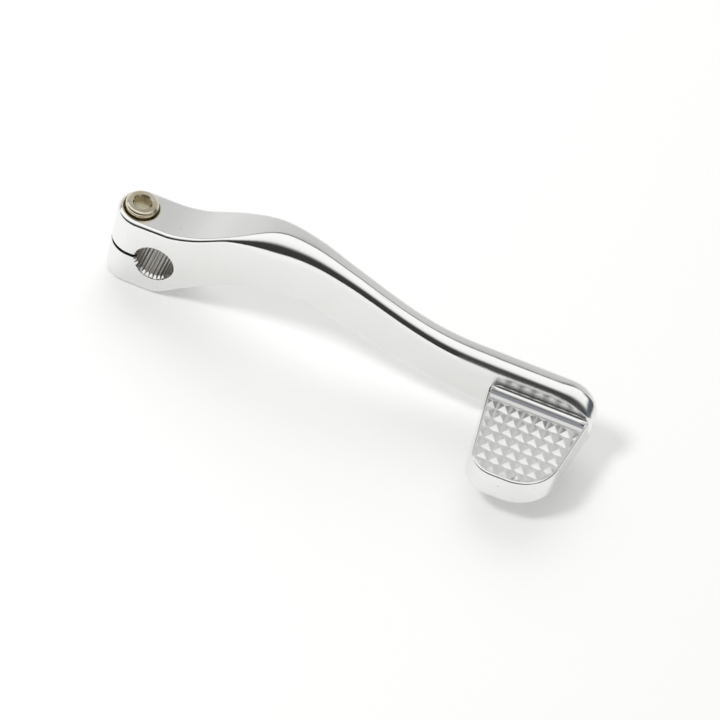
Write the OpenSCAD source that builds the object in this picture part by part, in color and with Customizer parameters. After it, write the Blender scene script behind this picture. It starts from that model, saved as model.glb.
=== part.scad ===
// Kick start lever of a small moped: a polished aluminium arm with a splined clamp boss at one end
// and a foot pad with a tread of small pyramids at the other, and the cap screw that closes the clamp.
//
// The origin is on the axis of the splined bore, halfway through the boss. The bore runs along Y,
// the arm leaves along +X, and the pinch bolt and the top of the tread point along +Z.
// The front of the lever, where the pad stands out, looks along -Y.

/* [Boss] */
// Width of the boss along the bore
boss_w = 15; // [13:0.5:20]
// Height of the boss above the axis of the bore
boss_top = 13.2; // [12:0.1:16]
// Depth of the boss below the axis of the bore
boss_low = 12.4; // [9:0.1:15]
// How far the level top and bottom of the boss run past the axis of the bore
boss_flat = 0.5; // [0:0.5:3]
// Round along the edges of the boss
boss_round = 1.4; // [0.5:0.1:1.6]
// How far the centre of the round end lies inside the axis of the bolt
heel_in = 0.6; // [0:0.1:1]

/* [Splined bore] */
// Number of teeth
spline_teeth = 30; // [20:1:36]
// Radius to the tips of the teeth, which grip the shaft
tip_r = 5.6; // [4.5:0.1:5.7]
// Depth of the grooves between the teeth
tooth_depth = 0.7; // [0.4:0.05:0.8]
// Width of a tooth's tip
tooth_land = 0.5; // [0.4:0.05:0.6]
// Length of the lead at both mouths of the bore
lead_len = 1.2; // [0.8:0.1:2]
// How far the lead opens past the roots of the teeth
lead_past = 0.1; // [0.05:0.05:0.5]
// Width of the slit that lets the clamp close
slit_w = 1.2; // [0.8:0.1:2]

/* [Pinch bolt] */
// Distance from the axis of the bore back to the bolt
bolt_back = 8.7; // [8.7:0.1:11]
// Radius of the thread
thread_r = 3; // [2.5:0.05:3]
// Radial gap between the thread and its tapped hole
thread_gap = 0.05; // [0.02:0.01:0.1]
// Radial gap between the shank and the hole in the upper jaw
shank_gap = 0.2; // [0.1:0.05:0.4]
// Length of the shank under the head
shank_len = 20; // [16:1:21]
// Radius of the head
head_r = 5; // [4.2:0.1:5.2]
// Height of the head
head_h = 6; // [4:0.1:8]
// How far the head stands above the boss
head_proud = 2.2; // [1:0.1:3.5]
// Round along the upper edge of the head
head_round = 0.9; // [0.2:0.1:1.2]
// Radial gap around the head in its recess
head_gap = 0.5; // [0.2:0.1:0.9]
// Width of the hexagon socket across its flats
hex_flats = 5; // [4:0.1:5.2]
// Depth of the hexagon socket
hex_depth = 3; // [1.5:0.1:3.5]
// Turn of the hexagon socket about its axis
hex_turn = 35.5; // [0:0.5:60]

/* [Arm, from the boss to the pad] */
// Throat: distance from the level part of the boss
throat_step = 9; // [7:0.5:13]
// Throat: height of the lower edge
throat_low = -6.6; // [-8:0.1:-4]
// Throat: height of the section
throat_h = 22.2; // [20:0.1:24]
// Throat: thickness of the section
throat_t = 14.3; // [11:0.1:16]
// Neck: distance from the throat
neck_step = 11.4; // [9:0.1:15]
// Neck: height of the lower edge
neck_low = 1.4; // [-1:0.1:3]
// Neck: height of the section
neck_h = 20.6; // [18:0.1:23]
// Neck: thickness of the section
neck_t = 13.2; // [11:0.1:15]
// Rise: distance from the neck
rise_step = 11.7; // [9:0.1:15]
// Rise: height of the lower edge
rise_low = 6.4; // [4:0.1:8]
// Rise: height of the section
rise_h = 20.3; // [18:0.1:22]
// Rise: thickness of the section
rise_t = 11.8; // [10:0.1:15]
// Crest: distance from the rise
crest_step = 12.3; // [9:0.1:15]
// Crest: height of the lower edge
crest_low = 8.3; // [6:0.1:11]
// Crest: height of the section
crest_h = 18.9; // [16:0.1:21]
// Crest: thickness of the section
crest_t = 9.3; // [9:0.1:13]
// Shoulder: distance from the crest
shoulder_step = 13.2; // [10:0.1:17]
// Shoulder: height of the lower edge
shoulder_low = 5.1; // [3:0.1:7]
// Shoulder: height of the section
shoulder_h = 18.7; // [16:0.1:21]
// Shoulder: thickness of the section
shoulder_t = 7.4; // [7:0.1:10]
// Slope: distance from the shoulder
slope_step = 20.1; // [16:0.1:30]
// Slope: height of the lower edge
slope_low = -0.6; // [-2:0.1:2]
// Slope: height of the section
slope_h = 17; // [15:0.1:19]
// Slope: thickness of the section
slope_t = 6.8; // [6:0.1:9.5]
// Waist: distance from the slope
waist_step = 13; // [10:0.1:18]
// Waist: height of the lower edge
waist_low = -2.8; // [-4:0.1:-1]
// Waist: height of the section
waist_h = 16; // [14:0.1:18]
// Waist: thickness of the section
waist_t = 7.1; // [6.5:0.1:9.5]
// Tail: distance from the waist to the pad's near side
tail_step = 13.9; // [12:0.1:25]
// Tail: height of the lower edge, from here to the tip
tail_low = -3.8; // [-4.5:0.1:-3]
// Tail: height of the section
tail_h = 16.3; // [14:0.1:18]
// Tail: thickness of the section
tail_t = 7.4; // [6.5:0.1:9.5]
// Round of the arm's upper front edge, as a share of its thickness
arm_round_share = 0.54; // [0.3:0.01:0.55]
// Round along the arm's upper back edge
back_round = 1.5; // [0.8:0.1:2]
// Round along the arm's lower edges
low_round = 1.4; // [0.5:0.1:2]

/* [Foot pad] */
// Width of the pad where it meets the arm
pad_w = 32.2; // [28:0.1:36]
// Reach of the pad from the front of the arm
pad_reach = 32.1; // [28:0.1:38]
// Height of the tips of the tread above the axis of the bore
tread_z = 5; // [3:0.1:7]
// Height of the pad's underside
pad_low = -5; // [-6:0.1:-4]
// How much each side of the pad leans in, per length of side
pad_lean = 0.13; // [0.05:0.01:0.18]
// Radius of the pad's near corner
near_corner_r = 8.2; // [6:0.1:10]
// Radius of the pad's far corner
far_corner_r = 13.5; // [10:0.1:15]
// How much the wall of the pad leans in from bottom to top
pad_draft = 0.5; // [0.2:0.1:1.2]
// Round around the top of the pad
tread_round = 0.7; // [0.3:0.1:1]
// Width of the plain ledge around the pyramids
ledge_w = 0.15; // [0.1:0.05:0.6]
// Round around the underside of the pad
pad_round = 1.4; // [0.5:0.1:2.5]
// How far the arm's end bulges past the pad's far side
end_past = 0.6; // [0.2:0.1:2]
// Length over which the arm's end falls to the pad
end_fall = 10; // [8:0.5:14]
// How much the round of the upper front edge widens into a sloping facet at the tip
end_facet = 1.2; // [0:0.1:2]
// Length over which the back of the arm's end rounds off
end_curl = 9; // [6:0.5:14]
// How far the front of the tip curls back from the front of the arm
tip_in = 2.2; // [1:0.1:2.5]
// How far the lower edge of the tip curls up
tip_rise = 4.5; // [2:0.5:5]
// Thickness left at the tip of the arm
tip_t = 1.4; // [1:0.1:2]

/* [Tread] */
// Spacing of the pyramids
pyramid_pitch = 3.9; // [3:0.1:5]
// Width of the channels between the pyramids
channel_w = 0.7; // [0.3:0.1:1]
// Width of the flat on top of a pyramid
pyramid_flat = 0.3; // [0.2:0.05:0.8]
// Height of the pyramids
pyramid_h = 1; // [0.6:0.1:1.6]
// Width of the plain strip along the arm
strip_w = 2.1; // [1.5:0.1:4]
// Radius of the hollow round where the strip meets the arm
strip_fillet = 1.3; // [0.5:0.1:1.4]
// Distance from the pad's far side to the last channel along Y
column_margin = 3.6; // [1:0.1:4]

/* [Hidden] */

// Small overlap that keeps cut faces from lying on each other
cut = 1;
aluminium = [0.86, 0.86, 0.85];
pale_gold = [0.78, 0.72, 0.56];

front_y = -boss_w / 2;
bolt_x = -bolt_back;
heel_r = boss_w / 2;
heel_x = bolt_x + heel_in;
seat_z = boss_top + head_proud - head_h;
root_r = tip_r + tooth_depth;

// Sections along the arm: distance along X, lower edge, upper edge and thickness
throat_x = boss_flat + throat_step;
neck_x = throat_x + neck_step;
rise_x = neck_x + rise_step;
crest_x = rise_x + crest_step;
shoulder_x = crest_x + shoulder_step;
slope_x = shoulder_x + slope_step;
waist_x = slope_x + waist_step;
tail_x = waist_x + tail_step;
far_x = tail_x + pad_w;
end_x = far_x + end_past;
SECTIONS = [
    [heel_x - boss_w, -boss_low, boss_top, boss_w],
    [heel_x, -boss_low, boss_top, boss_w],
    [boss_flat, -boss_low, boss_top, boss_w],
    [throat_x, throat_low, throat_low + throat_h, throat_t],
    [neck_x, neck_low, neck_low + neck_h, neck_t],
    [rise_x, rise_low, rise_low + rise_h, rise_t],
    [crest_x, crest_low, crest_low + crest_h, crest_t],
    [shoulder_x, shoulder_low, shoulder_low + shoulder_h, shoulder_t],
    [slope_x, slope_low, slope_low + slope_h, slope_t],
    [waist_x, waist_low, waist_low + waist_h, waist_t],
    [tail_x, tail_low, tail_low + tail_h, tail_t],
    [end_x, tail_low, tail_low + tail_h, tail_t],
];

// Smooth curve through one column of the sections
function slope_at(i, col) =
    i <= 0 || i >= len(SECTIONS) - 1
        ? 0
        : (SECTIONS[i + 1][col] - SECTIONS[i - 1][col]) / (SECTIONS[i + 1][0] - SECTIONS[i - 1][0]);
function span_of(x, i = 0) = i >= len(SECTIONS) - 2 || x < SECTIONS[i + 1][0] ? i : span_of(x, i + 1);
function level(i, col) = SECTIONS[i + 1][col] == SECTIONS[i][col];
function curve(x, col) =
    let (
        i = span_of(x),
        a = SECTIONS[i],
        b = SECTIONS[i + 1],
        step = b[0] - a[0],
        t = (x - a[0]) / step,
        from = level(i, col) || (i > 0 && level(i - 1, col)) ? 0 : slope_at(i, col),
        to = level(i, col) || (i < len(SECTIONS) - 2 && level(i + 1, col)) ? 0 : slope_at(i + 1, col)
    )
    a[col] * (1 + 2 * t) * pow(1 - t, 2)
        + b[col] * t * t * (3 - 2 * t)
        + step * (from * t * pow(1 - t, 2) - to * t * t * (1 - t));

// Quarter of an ellipse: 1 up to the start, 0 at start + length
function fall(x, start, length) = x <= start ? 1 : sqrt(max(0, 1 - pow((x - start) / length, 2)));
function ramp(x, from, to) =
    let (t = min(1, max(0, (x - from) / (to - from)))) t * t * (3 - 2 * t);

// The upper rounds start to grow before the neck and are full past the rise
NECK_LEAD = 3;
RISE_LAG = 4;
// The upper edge ends just under the tips of the tread
TIP_DROP = 0.8;
// Length over which the front of the tip curls back and its lower edge curls up
NOSE = 3;
tip_z = tread_z - TIP_DROP;
function nose(x) = 1 - fall(x, end_x - NOSE, NOSE);
function low_z(x) = curve(x, 1) + tip_rise * nose(x);
function top_z(x) = tip_z + (curve(x, 2) - tip_z) * fall(x, end_x - end_fall, end_fall);
function thick(x) =
    let (tip = tip_in + tip_t)
    tip + (curve(x, 3) - tip) * fall(x, end_x - end_curl, end_curl);
function arm_round(x) =
    boss_round + (arm_round_share * thick(x) - boss_round) * ramp(x, neck_x - NECK_LEAD, rise_x + RISE_LAG);
function under_round(x) = boss_round + (low_round - boss_round) * ramp(x, throat_x, rise_x);

// Outline of a section with elliptical corners. Each of its rounds is a width and a height, and the
// bow of the upper front one is 1 for an ellipse and grows towards 2 for a flat facet
function corner(y, z, r, from, n, bow = 1) = [
    for (k = [0:n])
        let (c = cos(from + 90 * k / n), s = sin(from + 90 * k / n))
        [y + r[0] * sign(c) * pow(abs(c), bow), z + r[1] * sign(s) * pow(abs(s), bow)]
];
TOP_STEPS = 8;
LOW_STEPS = 4;
function ring(x, front, back, low, high, over, rear, under, bow = 1) = [
    for (p = concat(
        corner(back - rear[0], high - rear[1], rear, 0, TOP_STEPS),
        corner(front + over[0], high - over[1], over, 90, TOP_STEPS, bow),
        corner(front + under[0], low + under[1], under, 180, LOW_STEPS),
        corner(back - under[0], low + under[1], under, 270, LOW_STEPS)
    )) [x, p[0], p[1]]
];

// Half round end of the boss, about the bolt: it starts as a narrow face, whose edge rounds must stay
// narrower than the face itself, and its rounds sink a little less than a full turn would
HEEL_STEPS = 14;
HEEL_START = 5;
HEEL_EDGE_SHARE = 0.96;
HEEL_SINK_SHARE = 0.9;
heel = [
    for (k = [0:HEEL_STEPS - 1])
        let (
            a = HEEL_START + (90 - HEEL_START) * k / HEEL_STEPS,
            x = heel_x - heel_r * cos(a),
            half = heel_r * sin(a),
            depth = min(boss_round, heel_r * (1 - cos(a))),
            drop = boss_round - sqrt(boss_round * boss_round - pow(boss_round - depth, 2)),
            width = min(HEEL_EDGE_SHARE * half, boss_round / sin(a)),
            round = [width, boss_round - HEEL_SINK_SHARE * drop]
        )
        ring(x, -half, half, -boss_low + drop, boss_top - drop, round, round, round)
];

// Arm from the bolt to the tip, with closer sections where it bends. The round of its upper front edge
// may take over half of the thickness, and turns into a facet that slopes down at the tip.
ARM_STEP = 2;
TIP_STEPS = 12;
FACET_LENGTH = 14;
FACET_BOW = 0.5;
FACET_FLAT = 0.3;
FACET_LIMIT = 0.1;
FRONT_LIMIT = 0.56;
BACK_LIMIT = 0.3;
arm_to = end_x - end_fall;
arm_count = ceil((arm_to - heel_x) / ARM_STEP);
arm_xs = concat(
    [for (k = [0:arm_count - 1]) heel_x + (arm_to - heel_x) * k / arm_count],
    [for (k = [0:TIP_STEPS]) arm_to + end_fall * sin(90 * k / TIP_STEPS)]
);
arm = [
    for (x = arm_xs)
        let (
            front = front_y + tip_in * nose(x),
            back = front_y + thick(x),
            facet = ramp(x, end_x - FACET_LENGTH, end_x),
            r = min(arm_round(x) + end_facet * facet, (FRONT_LIMIT + FACET_LIMIT * facet) * (back - front)),
            rear = boss_round + (back_round - boss_round) * ramp(x, neck_x, rise_x),
            b = min(rear, BACK_LIMIT * (back - front)),
            q = min(under_round(x), BACK_LIMIT * (back - front))
        )
        ring(x, front, back, low_z(x), top_z(x), [r, r * (1 - FACET_FLAT * facet)], [b, b], [q, q],
             1 + FACET_BOW * facet)
];

// Closed skin over a row of rings, each with as many points
module loft(rings) {
    n = len(rings[0]);
    m = len(rings);
    points = [for (one = rings) for (p = one) p];
    sides = [
        for (i = [0:m - 2])
            for (k = [0:n - 1])
                let (a = i * n + k, b = i * n + (k + 1) % n)
                each [[a, b + n, b], [a, a + n, b + n]]
    ];
    ends = [[for (k = [0:n - 1]) k], [for (k = [n - 1:-1:0]) (m - 1) * n + k]];
    polyhedron(points, concat(sides, ends), convexity = 8);
}

// Outline of the pad seen from above, drawn inwards by inset; its sides start inside the arm
near_x = tail_x;
pad_y = front_y - pad_reach;
PAD_SINK = 3;
lean_angle = atan(pad_lean);
function arc(x, y, r, from, to, n) =
    [for (k = [0:n]) [x + r * cos(from + (to - from) * k / n), y + r * sin(from + (to - from) * k / n)]];
function side_in(r) = pad_lean * (pad_reach - r) + r / cos(lean_angle);
function pad_outline(inset) =
    let (edge = inset / cos(lean_angle) - pad_lean * PAD_SINK)
    concat(
        [[near_x + edge, front_y + PAD_SINK]],
        arc(near_x + side_in(near_corner_r), pad_y + near_corner_r, near_corner_r - inset,
            180 + lean_angle, 270, 10),
        arc(far_x - side_in(far_corner_r), pad_y + far_corner_r, far_corner_r - inset,
            270, 360 - lean_angle, 14),
        [[far_x - edge, front_y + PAD_SINK]]
    );
ROUND_STEPS = 5;
floor_z = tread_z - pyramid_h;
pad_layers = concat(
    [
        for (k = [0:ROUND_STEPS])
            let (a = 90 - 90 * k / ROUND_STEPS)
            [pad_low + pad_round * (1 - sin(a)), pad_round * (1 - cos(a))]
    ],
    [
        for (k = [0:ROUND_STEPS])
            let (a = 90 * k / ROUND_STEPS)
            [floor_z - tread_round * (1 - sin(a)), pad_draft + tread_round * (1 - cos(a))]
    ]
);

// The pad up to the floor of the tread, and the field that the pyramids are cut from
module pad_blank() {
    loft([for (l = pad_layers) [for (p = pad_outline(l[1])) [p[0], p[1], l[0]]]]);
    translate([0, 0, floor_z - cut / 2])
        linear_extrude(pyramid_h + cut / 2) polygon(pad_outline(pad_draft + tread_round + ledge_w));
}

// Hollow round between the plain strip and the arm: it runs out before the ends of the pad
FILLET_SINK = 1;
FILLET_END = 0.3;
FILLET_RUN = 2.2;
module strip_round() {
    function profile(x, r) = [
        for (p = concat(
            arc(front_y - r, tread_z + r, r, 270, 360, 6),
            [[front_y + FILLET_SINK, tread_z + r], [front_y + FILLET_SINK, tread_z - FILLET_SINK]],
            [[front_y - r, tread_z - FILLET_SINK]]
        )) [x, p[0], p[1]]
    ];
    from = near_x + pad_draft + tread_round;
    to = far_x - pad_draft - tread_round;
    loft([
        profile(to, FILLET_END),
        profile(to - FILLET_RUN, strip_fillet),
        profile(from + FILLET_RUN, strip_fillet),
        profile(from, FILLET_END),
    ]);
}

// Channels that leave the pyramids standing
strip_y = front_y - strip_w;
channel_top = pyramid_pitch - pyramid_flat;
rows = ceil((pad_reach - strip_w) / pyramid_pitch);
columns = ceil(pad_w / pyramid_pitch) + 1;
module channel_profile() {
    polygon([
        [-channel_w / 2, -pyramid_h],
        [channel_w / 2, -pyramid_h],
        [channel_top / 2, 0],
        [channel_top / 2, cut],
        [-channel_top / 2, cut],
        [-channel_top / 2, 0],
    ]);
}
module tread_channels() {
    for (k = [0:rows])
        translate([near_x - cut, strip_y - channel_top / 2 - k * pyramid_pitch, tread_z])
            rotate([90, 0, 90]) linear_extrude(pad_w + 2 * cut) channel_profile();
    for (k = [0:columns])
        translate([far_x - column_margin - (k - 1) * pyramid_pitch, strip_y - channel_top / 2, tread_z])
            rotate([90, 0, 0]) linear_extrude(pad_reach) channel_profile();
}

// Bore with its teeth: a round cutter to the tips, and wedges for the grooves that start inside it
tooth_angle = 360 / spline_teeth;
GROOVE_FLOOR = 0.3;
WEDGE_SINK = 0.15;
land_side = asin(tooth_land / 2 / tip_r);
floor_side = tooth_angle / 2 - asin(GROOVE_FLOOR / 2 / root_r);
sink_side = land_side - (floor_side - land_side) * WEDGE_SINK / tooth_depth;
module groove_star() {
    polygon([
        for (k = [0:spline_teeth - 1])
            for (p = [
                [tip_r - WEDGE_SINK, sink_side],
                [root_r, floor_side],
                [root_r, tooth_angle - floor_side],
                [tip_r - WEDGE_SINK, tooth_angle - sink_side],
            ])
                let (a = (k + 0.5) * tooth_angle + p[1]) [p[0] * cos(a), p[0] * sin(a)]
    ]);
}
module along_y() {
    rotate([90, 0, 0]) children();
}
module splined_bore() {
    lead_slope = (tooth_depth + lead_past) / lead_len;
    along_y() cylinder(r = tip_r, h = boss_w + 2 * cut, center = true, $fn = 96);
    along_y() linear_extrude(boss_w + 2 * cut, center = true) groove_star();
    for (side = [-1, 1])
        translate([0, side * boss_w / 2, 0]) rotate([side * 90, 0, 0]) translate([0, 0, -cut])
            cylinder(r1 = tip_r + (lead_len + cut) * lead_slope, r2 = tip_r, h = lead_len + cut, $fn = 96);
}

module clamp_cuts() {
    reach = bolt_x - heel_r - cut;
    translate([reach, -boss_w / 2 - cut, -slit_w / 2]) cube([-reach, boss_w + 2 * cut, slit_w]);
    translate([bolt_x, 0, 0]) cylinder(r = thread_r + shank_gap, h = boss_top + cut, $fn = 48);
    translate([bolt_x, 0, -boss_low - cut]) cylinder(r = thread_r, h = boss_low + cut, $fn = 48);
    translate([bolt_x, 0, seat_z]) cylinder(r = head_r + head_gap, h = head_h + cut, $fn = 64);
}

module lever() {
    color(aluminium)
        difference() {
            union() {
                loft(concat(heel, arm));
                pad_blank();
                strip_round();
            }
            splined_bore();
            clamp_cuts();
            tread_channels();
        }
}

// Cap screw: its head, shank and point are turned, and the hexagon socket has a lead and a drilled floor
HEAD_FOOT = 0.15;
SHANK_POINT = 0.6;
SOCKET_LEAD = 0.7;
DRILL_R = 2.2;
DRILL_DEPTH = 1;
DRILL_TIP_R = 0.2;
module socket() {
    hex_r = hex_flats / 2 / cos(30);
    translate([0, 0, head_h - hex_depth]) rotate(hex_turn)
        cylinder(r = hex_r, h = hex_depth + cut, $fn = 6);
    translate([0, 0, head_h - SOCKET_LEAD / 2])
        cylinder(r1 = hex_flats / 2, r2 = hex_r + SOCKET_LEAD, h = SOCKET_LEAD, $fn = 48);
    translate([0, 0, head_h - hex_depth - DRILL_DEPTH])
        cylinder(r1 = DRILL_TIP_R, r2 = DRILL_R, h = DRILL_DEPTH + HEAD_FOOT, $fn = 32);
}
module pinch_bolt() {
    shank_r = thread_r - thread_gap;
    color(pale_gold)
        translate([bolt_x, 0, seat_z])
            difference() {
                rotate_extrude($fn = 64) polygon(concat(
                    [[0, -shank_len], [shank_r - SHANK_POINT, -shank_len], [shank_r, -shank_len + SHANK_POINT]],
                    [[shank_r, 0], [head_r - HEAD_FOOT, 0], [head_r, HEAD_FOOT]],
                    arc(head_r - head_round, head_h - head_round, head_round, 0, 90, 5),
                    [[0, head_h]]
                ));
                socket();
            }
}

lever();
pinch_bolt();
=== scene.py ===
import math

import bmesh
import bpy
from bpy.props import FloatProperty, FloatVectorProperty, IntProperty, PointerProperty
from mathutils import Matrix, Vector


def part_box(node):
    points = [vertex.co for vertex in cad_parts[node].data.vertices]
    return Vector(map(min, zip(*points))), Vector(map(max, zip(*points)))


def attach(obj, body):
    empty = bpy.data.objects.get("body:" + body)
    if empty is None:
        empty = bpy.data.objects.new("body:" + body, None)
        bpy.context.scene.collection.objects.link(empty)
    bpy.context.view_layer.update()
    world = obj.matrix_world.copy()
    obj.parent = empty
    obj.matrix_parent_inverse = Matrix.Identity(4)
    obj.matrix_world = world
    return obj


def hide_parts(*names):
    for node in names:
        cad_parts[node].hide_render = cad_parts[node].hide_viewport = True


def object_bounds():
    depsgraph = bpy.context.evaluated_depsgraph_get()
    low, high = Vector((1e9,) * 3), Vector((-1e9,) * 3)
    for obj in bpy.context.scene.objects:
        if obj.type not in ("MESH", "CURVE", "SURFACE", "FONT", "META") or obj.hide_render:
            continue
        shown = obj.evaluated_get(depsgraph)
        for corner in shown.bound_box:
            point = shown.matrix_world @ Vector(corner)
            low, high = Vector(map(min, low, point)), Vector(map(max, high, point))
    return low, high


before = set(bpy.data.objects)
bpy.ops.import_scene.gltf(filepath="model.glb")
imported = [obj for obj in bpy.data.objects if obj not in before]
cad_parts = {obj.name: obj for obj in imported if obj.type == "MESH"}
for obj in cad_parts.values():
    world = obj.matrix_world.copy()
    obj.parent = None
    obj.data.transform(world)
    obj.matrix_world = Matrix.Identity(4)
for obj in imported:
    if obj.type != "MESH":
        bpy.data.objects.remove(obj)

bl_info = {
    "name": "Kick Start Lever",
    "version": (1, 0, 0),
    "blender": (4, 5, 0),
    "location": "3D View > Sidebar > Lever",
    "description": "Finishes the kick start lever: polished casting, pale gold cap screw and stage",
    "category": "Object",
}

CAD_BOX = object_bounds()
MM = 0.001
BODY = "root"

# Places on the casting, as part.scad has them. They pick out its edges and bound its finishes.
BOSS_FACE = 7.5 * MM
BOSS_TOP = 13.2 * MM
BORE_RIM_R = 6.4 * MM
BORE_X = -0.8 * MM
BOLT_X = -8.7 * MM
RECESS_R = 5.5 * MM
PAD_X = 90 * MM
STRIP_EDGE = -9.9 * MM
TREAD_Z = 5 * MM
HEX_CORNER = 1 / math.cos(math.radians(30))  # corner radius over half the width across the flats


class Wire:
    """One output socket of a node. Arithmetic on wires adds Math nodes to the same tree."""

    def __init__(self, board, socket):
        self.board = board
        self.socket = socket

    def out(self, name):
        return Wire(self.board, self.socket.node.outputs[name])

    def math(self, operation, first, second=0.0):
        return self.board.node("ShaderNodeMath", {"operation": operation}, {0: first, 1: second})

    def __add__(self, other):
        return self.math("ADD", self, other)

    def __radd__(self, other):
        return self.math("ADD", other, self)

    def __sub__(self, other):
        return self.math("SUBTRACT", self, other)

    def __rsub__(self, other):
        return self.math("SUBTRACT", other, self)

    def __mul__(self, other):
        return self.math("MULTIPLY", self, other)

    def __rmul__(self, other):
        return self.math("MULTIPLY", other, self)

    def __truediv__(self, other):
        return self.math("DIVIDE", self, other)

    def __rtruediv__(self, other):
        return self.math("DIVIDE", other, self)

    def __pow__(self, other):
        return self.math("POWER", self, other)

    def __neg__(self):
        return self.math("MULTIPLY", self, -1.0)

    def __abs__(self):
        return self.math("ABSOLUTE", self)


class Board:
    """The node tree of one material or of the world, filled through one method."""

    def __init__(self, owner):
        owner.use_nodes = True
        self.tree = owner.node_tree
        self.tree.nodes.clear()

    def node(self, kind, settings=None, values=None, output=0):
        made = self.tree.nodes.new(kind)
        for name, setting in (settings or {}).items():
            if name == "stops":
                self._set_stops(made.color_ramp, setting)
            else:
                setattr(made, name, setting)
        for name, value in (values or {}).items():
            if isinstance(value, Wire):
                self.tree.links.new(value.socket, made.inputs[name])
            else:
                made.inputs[name].default_value = value
        return Wire(self, made.outputs[output]) if len(made.outputs) else None

    @staticmethod
    def _set_stops(ramp, stops):
        while len(ramp.elements) < len(stops):
            ramp.elements.new(1.0)
        for element, (place, colour) in zip(ramp.elements, stops):
            element.position = place
            element.color = colour

    def step(self, value, low, high):
        """Rises smoothly from 0 where value is low to 1 where it is high."""
        return self.node(
            "ShaderNodeMapRange",
            {"interpolation_type": "SMOOTHSTEP"},
            {"Value": value, "From Min": low, "From Max": high},
        )

    def noise(self, place, scale, detail=2.0, roughness=0.5):
        return self.node(
            "ShaderNodeTexNoise",
            values={"Vector": place, "Scale": scale, "Detail": detail, "Roughness": roughness},
        )

    def blend(self, share, first, second):
        """Mixes two colours."""
        return self.node(
            "ShaderNodeMix",
            {"data_type": "RGBA"},
            {"Factor": share, 6: first, 7: second},
            output=2,
        )

    def bump(self, height, depth):
        return self.node("ShaderNodeBump", values={"Height": height, "Distance": depth, "Strength": 1.0})


def opaque(colour):
    return (*colour, 1.0)


def polished_aluminium(look):
    """Bright cast metal, mirror polished outside and plainer where it is cut or hard to reach, with painted
    shade in the bore, a painted gold reflection of the screw in its recess and a painted dark reflection
    along the strip.

    Each in_, on_ and above_ value is 1 at its place on the casting and fades to 0 beside it.
    """
    material = bpy.data.materials.new("polished_aluminium")
    board = Board(material)
    place = board.node("ShaderNodeTexCoord", output="Object")
    x = board.node("ShaderNodeSeparateXYZ", values={"Vector": place}, output="X")
    y, z = x.out("Y"), x.out("Z")
    in_bore = 1.0 - board.step((x * x + z * z) ** 0.5, 6.3 * MM, 6.7 * MM)
    in_bore = in_bore * (1.0 - board.step(abs(y), 6.2 * MM, 6.4 * MM))
    on_tread = board.step(z, 3.8 * MM, 3.95 * MM) * board.step(-y, 9.5 * MM, 9.7 * MM)
    on_tread = on_tread * board.step(x, 90 * MM, 95 * MM)
    above_tread = board.step(z, 5.05 * MM, 5.3 * MM) * board.step(-y, 6.2 * MM, 6.8 * MM)
    above_tread = above_tread * board.step(x, 93 * MM, 96 * MM)
    in_strip = board.step(-y, 8.8 * MM, 9.0 * MM) * (1.0 - board.step(-y, 10.15 * MM, 10.4 * MM))
    in_strip = in_strip * board.step(x, 91 * MM, 93 * MM) * board.step(z, 4.3 * MM, 4.5 * MM)
    from_screw = ((x - BOLT_X) * (x - BOLT_X) + y * y) ** 0.5
    in_recess = 1.0 - board.step(from_screw, 5.75 * MM, 5.95 * MM)
    in_recess = in_recess * board.step(z, 9.0 * MM, 9.1 * MM)

    cloud = board.noise(place, look.cloud_scale, 3.0)
    waves = board.noise(place, look.wave_scale, 1.5)
    ripple = board.noise(place, look.ripple_scale, 1.0)
    grain = board.noise(place, look.grain_scale, 2.0)
    pits = board.step(board.noise(place, look.pit_scale, 0.0), 0.86, 0.89)

    colour = board.blend(cloud, opaque(look.metal), opaque(look.metal_shade))
    # Painted shade: the inside of the bore is darkened; the added roughness below is its cut finish
    colour = board.blend(in_bore * 0.75, colour, opaque(look.bore_painted_shade))
    # Painted reflection: the gold of the screw head painted into the metal of its recess
    colour = board.blend(in_recess * 0.8, colour, opaque(look.painted_screw_reflection))
    # Painted reflection: a dark line along the strip stands in for the dark side of the arm mirrored there
    colour = board.blend(in_strip * 0.85, colour, opaque(look.strip))
    colour = board.blend(pits * 0.4, colour, opaque(look.pits))
    roughness = look.polish + 0.06 * cloud + look.tread_roughness * on_tread + 0.25 * in_bore
    roughness = roughness + 0.13 * above_tread + 0.3 * in_recess
    normal = board.bump(waves + 0.3 * ripple + 0.035 * grain, look.wave_depth)
    shader = board.node(
        "ShaderNodeBsdfPrincipled",
        values={"Base Color": colour, "Metallic": 1.0, "Roughness": roughness, "Normal": normal},
    )
    board.node("ShaderNodeOutputMaterial", values={"Surface": shader})
    return material


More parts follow.
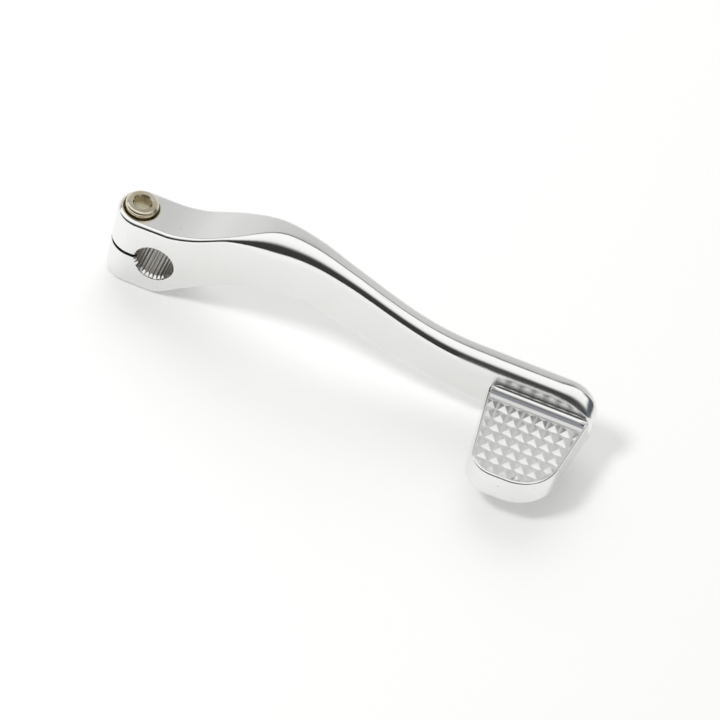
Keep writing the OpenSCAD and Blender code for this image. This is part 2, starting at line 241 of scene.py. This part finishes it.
def pale_gold_steel(look, axis_x, top):
    """Passivated steel with a thin, slightly uneven gold film, with painted shade on the walls of the socket
    and a painted light on its drilled floor.
    """
    material = bpy.data.materials.new("pale_gold_steel")
    board = Board(material)
    place = board.node("ShaderNodeTexCoord", output="Object")
    film = board.noise(place, 260.0, 3.0)
    grain = board.noise(place, 3000.0, 2.0)
    x = board.node("ShaderNodeSeparateXYZ", values={"Vector": place}, output="X")
    y, z = x.out("Y"), x.out("Z")
    from_axis = ((x - axis_x) * (x - axis_x) + y * y) ** 0.5
    in_socket = 1.0 - board.step(from_axis, 2.92 * MM, 2.96 * MM)
    in_socket = in_socket * (1.0 - board.step(z, top - 0.12 * MM, top - 0.06 * MM))
    floor_z = top - look.socket_depth
    above_floor = board.step(z, floor_z, floor_z + 0.1 * MM)
    on_floor = in_socket * (1.0 - above_floor)
    colour = board.blend(board.step(film, 0.35, 0.65), opaque(look.gold), opaque(look.gold_deep))
    # Painted shade: the walls of the socket are darkened
    colour = board.blend(in_socket * above_floor * 0.7, colour, opaque(look.painted_socket_shade))
    # Painted light: the drilled floor of the socket gets a lighter gold; its added roughness is the drilled
    # finish
    colour = board.blend(on_floor, colour, opaque(look.painted_socket_floor_light))
    shader = board.node(
        "ShaderNodeBsdfPrincipled",
        values={
            "Base Color": colour,
            "Metallic": 1.0,
            "Roughness": look.gloss + 0.08 * film + 0.35 * on_floor,
            "Normal": board.bump(grain, 0.004 * MM),
        },
    )
    board.node("ShaderNodeOutputMaterial", values={"Surface": shader})
    return material


def finish_piece(piece, material, node):
    """Gives the piece its material, hides the CAD part it stands for and hangs the piece under the body."""
    piece.data.materials.clear()
    piece.data.materials.append(material)
    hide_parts(node)
    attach(piece, BODY)


def piece_from(shape, name):
    mesh = bpy.data.meshes.new(name)
    shape.to_mesh(mesh)
    shape.free()
    piece = bpy.data.objects.new(name, mesh)
    bpy.context.scene.collection.objects.link(piece)
    return piece


def smooth_up_to(shape, angle):
    """Shades every face smooth and keeps the edges sharper than the angle."""
    for face in shape.faces:
        face.smooth = True
    for edge in shape.edges:
        edge.smooth = len(edge.link_faces) == 2 and edge.calc_face_angle() < angle


def even_normals(piece):
    evening = piece.modifiers.new("even_normals", "WEIGHTED_NORMAL")
    evening.mode = "FACE_AREA"
    evening.weight = 50
    evening.keep_sharp = True


class LeverLook(bpy.types.PropertyGroup):
    metal: FloatVectorProperty(
        name="Metal", description="Colour of the polished metal", subtype="COLOR",
        default=(0.93, 0.93, 0.925), min=0.0, max=1.0,
    )
    metal_shade: FloatVectorProperty(
        name="Metal shade", description="Colour of the metal where it is a little duller", subtype="COLOR",
        default=(0.885, 0.88, 0.86), min=0.0, max=1.0,
    )
    # Painted shade inside the bore, not a colour of the cut metal
    bore_painted_shade: FloatVectorProperty(
        name="Bore", description="Colour of the cut metal in the bore", subtype="COLOR",
        default=(0.55, 0.53, 0.50), min=0.0, max=1.0,
    )
    # Painted reflection of the gold screw in its recess, not a colour of the metal
    painted_screw_reflection: FloatVectorProperty(
        name="Recess", description="Colour of the cut metal around the screw", subtype="COLOR",
        default=(0.86, 0.78, 0.58), min=0.0, max=1.0,
    )
    # Painted reflection of the arm's dark side along the strip
    strip: FloatVectorProperty(
        name="Strip", description="Colour of the darker line where the strip meets the arm", subtype="COLOR",
        default=(0.24, 0.25, 0.28), min=0.0, max=1.0,
    )
    pits: FloatVectorProperty(
        name="Pits", description="Colour of the small pits of the casting", subtype="COLOR",
        default=(0.30, 0.29, 0.28), min=0.0, max=1.0,
    )
    polish: FloatProperty(
        name="Polish", description="Roughness of the polished faces", default=0.09, min=0.0, max=1.0
    )
    tread_roughness: FloatProperty(
        name="Tread roughness", description="Roughness that the tread adds", default=0.21, min=0.0, max=1.0
    )
    wave_depth: FloatProperty(
        name="Wave depth", description="Depth of the waves that polishing leaves", subtype="DISTANCE",
        default=0.012 * MM, min=0.0,
    )
    cloud_scale: FloatProperty(
        name="Cloud scale", description="Fineness of the duller clouds", default=60.0, min=0.0
    )
    wave_scale: FloatProperty(
        name="Wave scale", description="Fineness of the waves that polishing leaves", default=330.0, min=0.0
    )
    ripple_scale: FloatProperty(
        name="Ripple scale", description="Fineness of the ripple on the waves", default=1500.0, min=0.0
    )
    grain_scale: FloatProperty(
        name="Grain scale", description="Fineness of the grain", default=2600.0, min=0.0
    )
    pit_scale: FloatProperty(
        name="Pit scale", description="Fineness of the casting's pits", default=900.0, min=0.0
    )
    strip_fall: FloatProperty(
        name="Strip fall", description="Fall of the plain strip beside the arm", subtype="ANGLE",
        default=math.radians(3.2),
    )
    bore_ease: FloatProperty(
        name="Bore ease", description="Width of the eased edge of the bore", subtype="DISTANCE",
        default=0.3 * MM, min=0.0,
    )
    recess_ease: FloatProperty(
        name="Recess ease", description="Width of the eased edge of the screw's recess", subtype="DISTANCE",
        default=0.4 * MM, min=0.0,
    )
    pyramid_ease: FloatProperty(
        name="Pyramid ease", description="Width of the rounds on the pyramids", subtype="DISTANCE",
        default=0.09 * MM, min=0.0,
    )
    crease: FloatProperty(
        name="Crease", description="Edges sharper than this stay sharp", subtype="ANGLE",
        default=math.radians(27),
    )


class ScrewLook(bpy.types.PropertyGroup):
    gold: FloatVectorProperty(
        name="Gold", description="Colour of the gold film", subtype="COLOR",
        default=(0.76, 0.71, 0.57), min=0.0, max=1.0,
    )
    gold_deep: FloatVectorProperty(
        name="Deep gold", description="Colour of the film where it is thicker", subtype="COLOR",
        default=(0.66, 0.59, 0.43), min=0.0, max=1.0,
    )
    # Painted shade on the walls of the socket
    painted_socket_shade: FloatVectorProperty(
        name="Socket shade", description="Colour of the walls of the socket", subtype="COLOR",
        default=(0.30, 0.24, 0.13), min=0.0, max=1.0,
    )
    # Painted light on the drilled floor of the socket
    painted_socket_floor_light: FloatVectorProperty(
        name="Socket floor", description="Colour of the drilled floor of the socket", subtype="COLOR",
        default=(0.98, 0.93, 0.76), min=0.0, max=1.0,
    )
    gloss: FloatProperty(
        name="Gloss", description="Roughness of the screw", default=0.15, min=0.0, max=1.0
    )
    head_height: FloatProperty(
        name="Head height", description="Height of the head", subtype="DISTANCE", default=6 * MM
    )
    rim_round: FloatProperty(
        name="Rim round", description="Round along the upper edge of the head", subtype="DISTANCE",
        default=1.0 * MM,
    )
    socket_flats: FloatProperty(
        name="Socket", description="Width of the hexagon socket across its flats", subtype="DISTANCE",
        default=5 * MM,
    )
    socket_lead: FloatProperty(
        name="Socket lead", description="Width of the slope around the socket", subtype="DISTANCE",
        default=0.1 * MM,
    )
    socket_turn: FloatProperty(
        name="Socket turn", description="Turn of the hexagon about the screw", subtype="ANGLE",
        default=math.radians(35.5),
    )
    socket_depth: FloatProperty(
        name="Socket depth", description="Depth of the hexagon socket", subtype="DISTANCE", default=3 * MM
    )
    drill_depth: FloatProperty(
        name="Drill depth", description="Depth of the drilled hollow in the socket's floor",
        subtype="DISTANCE", default=0.35 * MM,
    )
    foot_bevel: FloatProperty(
        name="Foot bevel", description="Bevel along the lower edge of the head", subtype="DISTANCE",
        default=0.15 * MM,
    )
    thread_radius: FloatProperty(
        name="Thread radius", description="Radius over the thread", subtype="DISTANCE", default=2.95 * MM
    )
    thread_depth: FloatProperty(
        name="Thread depth", description="Depth of the thread", subtype="DISTANCE", default=0.6 * MM
    )
    thread_pitch: FloatProperty(
        name="Thread pitch", description="Rise of the thread in one turn", subtype="DISTANCE", default=1 * MM
    )
    sides: IntProperty(
        name="Sides", description="Steps in one turn, a multiple of six", default=96, min=24
    )


class StageLook(bpy.types.PropertyGroup):
    azimuth: FloatProperty(
        name="Azimuth", description="Direction that the camera looks from", subtype="ANGLE",
        default=math.radians(8),
    )
    elevation: FloatProperty(
        name="Elevation", description="Height of the camera above the horizon", subtype="ANGLE",
        default=math.radians(48),
    )
    roll: FloatProperty(
        name="Roll", description="Turn of the picture", subtype="ANGLE", default=math.radians(15.5)
    )
    distance: FloatProperty(
        name="Distance", description="Distance of the camera", subtype="DISTANCE", default=1764.7 * MM
    )
    aim: FloatVectorProperty(
        name="Aim", description="Point that the middle of the picture is on, across and up from the bore",
        size=2, subtype="XYZ_LENGTH", default=(61.544 * MM, -28.529 * MM),
    )
    lens: FloatProperty(name="Lens", description="Focal length in millimetres", default=300.0)
    floor: FloatVectorProperty(
        name="Floor", description="Colour of the floor", subtype="COLOR", default=(0.86, 0.86, 0.855),
        min=0.0, max=1.0,
    )
    lift: FloatProperty(
        name="Lift", description="Light that the floor shows the camera beside its own", default=0.16, min=0.0
    )
    lift_reflected: FloatProperty(
        name="Reflected lift", description="Share of the lift that the metal reflects", default=0.7, min=0.0,
        max=1.0,
    )
    key_power: FloatProperty(
        name="Key power", description="Power of the key lamp in watts", default=6.8, min=0.0
    )
    fill_power: FloatProperty(
        name="Fill power", description="Power of the soft lamp behind in watts", default=4.8, min=0.0
    )
    room: FloatProperty(
        name="Room", description="Strength of the room that the metal reflects", default=1.06, min=0.0
    )
    room_dark: FloatVectorProperty(
        name="Dark room", description="Colour of the dark room at the lever's foot end", subtype="COLOR",
        default=(0.10, 0.11, 0.13), min=0.0, max=1.0,
    )
    dome: FloatProperty(
        name="Dome", description="Strength of the soft light from all round", default=0.545, min=0.0
    )


class LEVER_OT_casting(bpy.types.Operator):
    """Polishes the casting: the CAD shape with eased rims, smoothly shaded"""

    bl_idname = "lever.casting"
    bl_label = "Casting"

    def execute(self, context):
        look = context.scene.lever_look
        shape = bmesh.new()
        shape.from_mesh(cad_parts["lever"].data)
        bmesh.ops.remove_doubles(shape, verts=shape.verts, dist=0.0005 * MM)
        self.tilt_strip(shape, look)
        self.ease(shape, self.sharp_edges(shape, self.on_bore_rim, 20), look.bore_ease)
        self.ease(shape, self.sharp_edges(shape, self.on_recess_rim, 40), look.recess_ease)
        self.ease(shape, self.sharp_edges(shape, self.on_pyramids, 30, 60), look.pyramid_ease)
        smooth_up_to(shape, look.crease)
        piece = piece_from(shape, "casting")
        even_normals(piece)
        finish_piece(piece, polished_aluminium(look), "lever")
        return {"FINISHED"}

    @staticmethod
    def tilt_strip(shape, look):
        """Lets the plain strip beside the arm fall a little towards the pyramids."""
        fall = math.tan(look.strip_fall)
        for v in shape.verts:
            place = v.co
            from_edge = place.y - STRIP_EDGE
            along_strip = place.x > PAD_X and abs(place.z - TREAD_Z) < 0.1 * MM
            if along_strip and 0.2 * MM < from_edge < 1.6 * MM:
                place.z = max(place.z, TREAD_Z + from_edge * fall)

    @staticmethod
    def ease(shape, edges, width):
        """Rounds the edges with a narrow bevel."""
        bmesh.ops.bevel(
            shape, geom=edges, offset=width, offset_type="OFFSET", affect="EDGES", segments=2,
            profile=0.5, material=-1, clamp_overlap=True,
        )

    @staticmethod
    def sharp_edges(shape, on_form, low, high=360):
        """Outer edges on the form whose faces meet at an angle between low and high, in degrees."""
        return [
            edge for edge in shape.edges
            if len(edge.link_faces) == 2
            and math.radians(low) < edge.calc_face_angle_signed() < math.radians(high)
            and all(on_form(v.co) for v in edge.verts)
        ]

    @staticmethod
    def on_bore_rim(place):
        at_face = abs(abs(place.y) - BOSS_FACE) < 0.01 * MM
        return at_face and abs(place.xz.length - BORE_RIM_R) < 0.05 * MM

    @staticmethod
    def on_recess_rim(place):
        from_axis = math.hypot(place.x - BOLT_X, place.y)
        return abs(place.z - BOSS_TOP) < 0.01 * MM and abs(from_axis - RECESS_R) < 0.03 * MM

    @staticmethod
    def on_pyramids(place):
        in_plan = place.x > PAD_X + 2 * MM and place.y < STRIP_EDGE - 0.05 * MM
        return in_plan and 3.9 * MM < place.z < TREAD_Z + 0.02 * MM


class LEVER_OT_screw(bpy.types.Operator):
    """Turns the cap screw: head, hexagon socket and a real thread"""

    bl_idname = "lever.screw"
    bl_label = "Cap screw"

    def execute(self, context):
        look = context.scene.screw_look
        low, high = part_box("pinch_bolt")
        head_r = (high.x - low.x) / 2
        top = high.z - low.z
        foot = top - look.head_height
        shape = bmesh.new()
        self.turn_head(shape, look, head_r, foot, top)
        self.sink_socket(shape, look, top)
        self.cut_thread(shape, look, foot)
        bmesh.ops.recalc_face_normals(shape, faces=shape.faces)
        smooth_up_to(shape, math.radians(32))
        middle = Vector(((low.x + high.x) / 2, (low.y + high.y) / 2, low.z))
        bmesh.ops.translate(shape, verts=shape.verts, vec=middle)
        piece = piece_from(shape, "cap_screw")
        even_normals(piece)
        finish_piece(piece, pale_gold_steel(look, middle.x, high.z), "pinch_bolt")
        return {"FINISHED"}

    @staticmethod
    def lead_radius(look):
        """Radius of the circle where the slope around the socket starts."""
        return look.socket_flats / 2 * HEX_CORNER + look.socket_lead

    def turn_head(self, shape, look, head_r, foot, top):
        """Spins the outline of the head, from the socket's rim to the shank."""
        rim, steps = look.rim_round, 8
        outline = [(self.lead_radius(look), top)]
        for k in range(steps + 1):
            angle = math.radians(90 - 90 * k / steps)
            outline.append((head_r - rim + rim * math.cos(angle), top - rim + rim * math.sin(angle)))
        outline += [(head_r, foot + look.foot_bevel), (head_r - look.foot_bevel, foot)]
        outline += [(look.thread_radius - look.thread_depth, foot)]
        self.spin(shape, outline, look.sides)

    @staticmethod
    def spin(shape, outline, sides):
        points = [shape.verts.new((r, 0.0, z)) for r, z in outline]
        lines = [shape.edges.new(pair) for pair in zip(points, points[1:])]
        bmesh.ops.spin(
            shape, geom=points + lines, cent=(0, 0, 0), axis=(0, 0, 1), dvec=(0, 0, 0),
            angle=math.tau, steps=sides, use_merge=True, use_duplicate=False,
        )

    def sink_socket(self, shape, look, top):
        """Bridges the rim to a hexagon, sinks it, and closes it with a drilled floor."""
        lead_r = self.lead_radius(look)
        rim = [
            edge for edge in shape.edges
            if edge.is_boundary and all(abs(v.co.z - top) < 1e-7 for v in edge.verts)
        ]
        bmesh.ops.create_circle(
            shape, segments=6, radius=look.socket_flats / 2 * HEX_CORNER,
            matrix=Matrix.Rotation(look.socket_turn - math.radians(30), 4, "Z"),
        )
        hexagon = [edge for edge in shape.edges if edge.is_wire]
        bmesh.ops.subdivide_edges(shape, edges=hexagon, cuts=look.sides // 6 - 1)
        for v in shape.verts:
            if v.is_wire:
                v.co.z = top - (lead_r - v.co.xy.length)
        edges = [edge for edge in shape.edges if edge.is_wire]
        bmesh.ops.bridge_loops(shape, edges=rim + edges)
        depth = look.socket_depth
        for sunk, grow in ((depth, 1.0), (depth, 0.78), (depth + look.drill_depth, 0.0)):
            drawn = bmesh.ops.extrude_edge_only(shape, edges=edges)["geom"]
            ring = [g for g in drawn if isinstance(g, bmesh.types.BMVert)]
            edges = [g for g in drawn if isinstance(g, bmesh.types.BMEdge)]
            bmesh.ops.scale(shape, verts=ring, vec=(grow, grow, 1.0))
            for v in ring:
                v.co.z = top - sunk
        bmesh.ops.remove_doubles(shape, verts=ring, dist=0.001 * MM)

    def cut_thread(self, shape, look, foot):
        """Sweeps one tooth of the thread along the shank, closes its ends and fills it with a core."""
        point = 0.6 * MM
        turns = int((foot - point) / look.thread_pitch)
        root_r = look.thread_radius - look.thread_depth
        flat = look.thread_pitch / 8
        outline = [
            (root_r, 0.0),
            (root_r, flat * 2),
            (look.thread_radius, flat * 4.5),
            (look.thread_radius, flat * 5.5),
            (root_r, flat * 8),
        ]
        start = foot - turns * look.thread_pitch
        points = [shape.verts.new((r, 0.0, z + start - look.thread_pitch / 2)) for r, z in outline]
        lines = [shape.edges.new(pair) for pair in zip(points, points[1:])]
        bmesh.ops.spin(
            shape, geom=points + lines, cent=(0, 0, 0), axis=(0, 0, 1),
            dvec=(0, 0, look.thread_pitch / look.sides),
            angle=math.tau * turns, steps=look.sides * turns, use_merge=False, use_duplicate=False,
        )
        tooth = [
            v for v in shape.verts
            if v.co.xy.length < look.thread_radius + 0.001 * MM and v.co.z < foot + look.thread_pitch
        ]
        bmesh.ops.remove_doubles(shape, verts=tooth, dist=0.001 * MM)
        open_ends = [edge for edge in shape.edges if edge.is_boundary]
        bmesh.ops.holes_fill(shape, edges=open_ends, sides=0)
        core = bmesh.ops.create_cone(
            shape, cap_ends=True, cap_tris=False, segments=look.sides,
            radius1=root_r - 0.3 * MM, radius2=root_r, depth=point + start,
        )["verts"]
        bmesh.ops.translate(shape, verts=core, vec=(0, 0, (point + start) / 2))


class LEVER_OT_stage(bpy.types.Operator):
    """Sets the floor, the studio light, the world and the camera"""

    bl_idname = "lever.stage"
    bl_label = "Stage"

    def execute(self, context):
        look = context.scene.stage_look
        scene = context.scene
        scene.view_settings.view_transform = "Standard"
        self.lay_floor(look)
        self.hang_lamp("key", (-0.54, -0.50, 1.1), 0.32, look.key_power)
        self.hang_lamp("fill", (-0.25, 0.85, 0.85), 1.2, look.fill_power)
        self.light_world(scene, look)
        self.place_camera(scene, look)
        return {"FINISHED"}

    def lay_floor(self, look):
        shape = bmesh.new()
        bmesh.ops.create_grid(shape, x_segments=1, y_segments=1, size=6.0)
        bmesh.ops.translate(shape, verts=shape.verts, vec=(0, 0, CAD_BOX[0].z - 0.02 * MM))
        floor = piece_from(shape, "floor")
        material = bpy.data.materials.new("white_floor")
        board = Board(material)
        seen = board.node("ShaderNodeLightPath", output="Is Camera Ray")
        seen = seen + look.lift_reflected * seen.out("Is Glossy Ray") + seen.out("Is Transmission Ray")
        paper = board.node("ShaderNodeBsdfDiffuse", values={"Color": opaque(look.floor)})
        lift = board.node(
            "ShaderNodeEmission", values={"Color": opaque(look.floor), "Strength": seen * look.lift}
        )
        surface = board.node("ShaderNodeAddShader", values={0: paper, 1: lift})
        board.node("ShaderNodeOutputMaterial", values={"Surface": surface})
        floor.data.materials.append(material)

    @staticmethod
    def hang_lamp(name, place, size, power):
        """Hangs a round lamp that points near the middle of the lever and shows in no reflection."""
        lamp = bpy.data.lights.new(name, "AREA")
        lamp.shape = "DISK"
        lamp.size = size
        lamp.energy = power
        hung = bpy.data.objects.new(name, lamp)
        hung.location = place
        hung.rotation_mode = "QUATERNION"
        hung.rotation_quaternion = (Vector((0.06, 0, 0)) - hung.location).to_track_quat("-Z", "Y")
        hung.visible_glossy = False
        hung.visible_camera = False
        bpy.context.scene.collection.objects.link(hung)

    def light_world(self, scene, look):
        """White where it is seen, even for diffuse light, and a soft box, a grey wall and a dark room
        for reflections. The ramp runs over the angle from straight up towards the front."""
        world = bpy.data.worlds.new("studio")
        scene.world = world
        board = Board(world)
        way = board.node("ShaderNodeTexCoord", output="Generated")
        x = board.node("ShaderNodeSeparateXYZ", values={"Vector": way}, output="X")
        y, z = x.out("Y"), x.out("Z")
        angle = board.node("ShaderNodeMath", {"operation": "ARCTAN2"}, {0: -y, 1: z})
        # Degrees and grey level: wall behind, thin dark seam, soft box overhead, dark camera side
        levels = (
            (-100, 0.80), (-70, 0.74), (-45, 0.60), (-39.5, 0.60), (-38, 0.12), (-33, 0.14), (-30, 0.96),
            (-20, 1.0), (8, 0.97), (26, 0.9), (31, 0.8), (37.5, 0.5), (44, 0.16), (50, 0.04), (90, 0.03),
        )
        stops = [(degrees / 360 + 0.5, opaque((level, level, level))) for degrees, level in levels]
        ramp = board.node("ShaderNodeValToRGB", {"stops": stops}, {"Fac": angle / math.tau + 0.5})
        glossy = board.node("ShaderNodeLightPath", output="Is Glossy Ray")
        seen = glossy.out("Is Camera Ray")
        corner = board.step(x, 0.46, 0.66) * board.step(y, 0.1, 0.3) * (1.0 - board.step(y, 0.48, 0.6))
        dark = board.step(x, 0.72, 0.86) + corner
        dark = board.node("ShaderNodeMath", {"operation": "MINIMUM"}, {0: dark, 1: 1.0})
        dark = dark * board.step(z, 0.0, 0.2)
        tones = board.blend(dark, ramp, opaque(look.room_dark))
        room = board.node("ShaderNodeBackground", values={"Color": tones, "Strength": look.room})
        even = board.node("ShaderNodeBackground", values={"Color": (1, 1, 1, 1), "Strength": look.dome})
        white = board.node("ShaderNodeBackground", values={"Color": (1, 1, 1, 1), "Strength": 1.0})
        lit = board.node("ShaderNodeMixShader", values={0: glossy, 1: even, 2: room})
        shown = board.node("ShaderNodeMixShader", values={0: seen, 1: lit, 2: white})
        board.node("ShaderNodeOutputWorld", values={"Surface": shown})

    def place_camera(self, scene, look):
        a, e, r = look.azimuth, look.elevation, look.roll
        right = Vector((math.cos(a), math.sin(a), 0))
        back = Vector((math.sin(a) * math.cos(e), -math.cos(a) * math.cos(e), math.sin(e)))
        up = back.cross(right)
        across = right * math.cos(r) + up * math.sin(r)
        upwards = up * math.cos(r) - right * math.sin(r)
        bore_front = Vector((BORE_X, -BOSS_FACE, 0))
        lens = bpy.data.cameras.new("camera")
        lens.lens = look.lens
        lens.sensor_width = 36.0
        lens.clip_start, lens.clip_end = 0.1, 20.0
        camera = bpy.data.objects.new("camera", lens)
        turn = Matrix((across, upwards, back)).transposed()
        camera.location = bore_front + across * look.aim[0] + upwards * look.aim[1] + back * look.distance
        camera.rotation_mode = "QUATERNION"
        camera.rotation_quaternion = turn.to_quaternion()
        scene.collection.objects.link(camera)
        scene.camera = camera


class LEVER_PT_panel(bpy.types.Panel):
    bl_idname = "LEVER_PT_panel"
    bl_label = "Kick Start Lever"
    bl_space_type = "VIEW_3D"
    bl_region_type = "UI"
    bl_category = "Lever"

    def draw(self, context):
        layout = self.layout
        for name, look in LOOKS.items():
            box = layout.box()
            group = getattr(context.scene, name)
            for key in look.__annotations__:
                box.prop(group, key)
        for operator in OPERATORS:
            layout.operator(operator.bl_idname)


LOOKS = {"lever_look": LeverLook, "screw_look": ScrewLook, "stage_look": StageLook}
OPERATORS = (LEVER_OT_casting, LEVER_OT_screw, LEVER_OT_stage)
CLASSES = (*LOOKS.values(), *OPERATORS, LEVER_PT_panel)


def register():
    for one in CLASSES:
        bpy.utils.register_class(one)
    for name, look in LOOKS.items():
        setattr(bpy.types.Scene, name, PointerProperty(type=look))


def unregister():
    for name in LOOKS:
        delattr(bpy.types.Scene, name)
    for one in reversed(CLASSES):
        bpy.utils.unregister_class(one)


def main():
    register()
    bpy.ops.lever.casting()
    bpy.ops.lever.screw()
    bpy.ops.lever.stage()


if __name__ == "__main__":
    main()
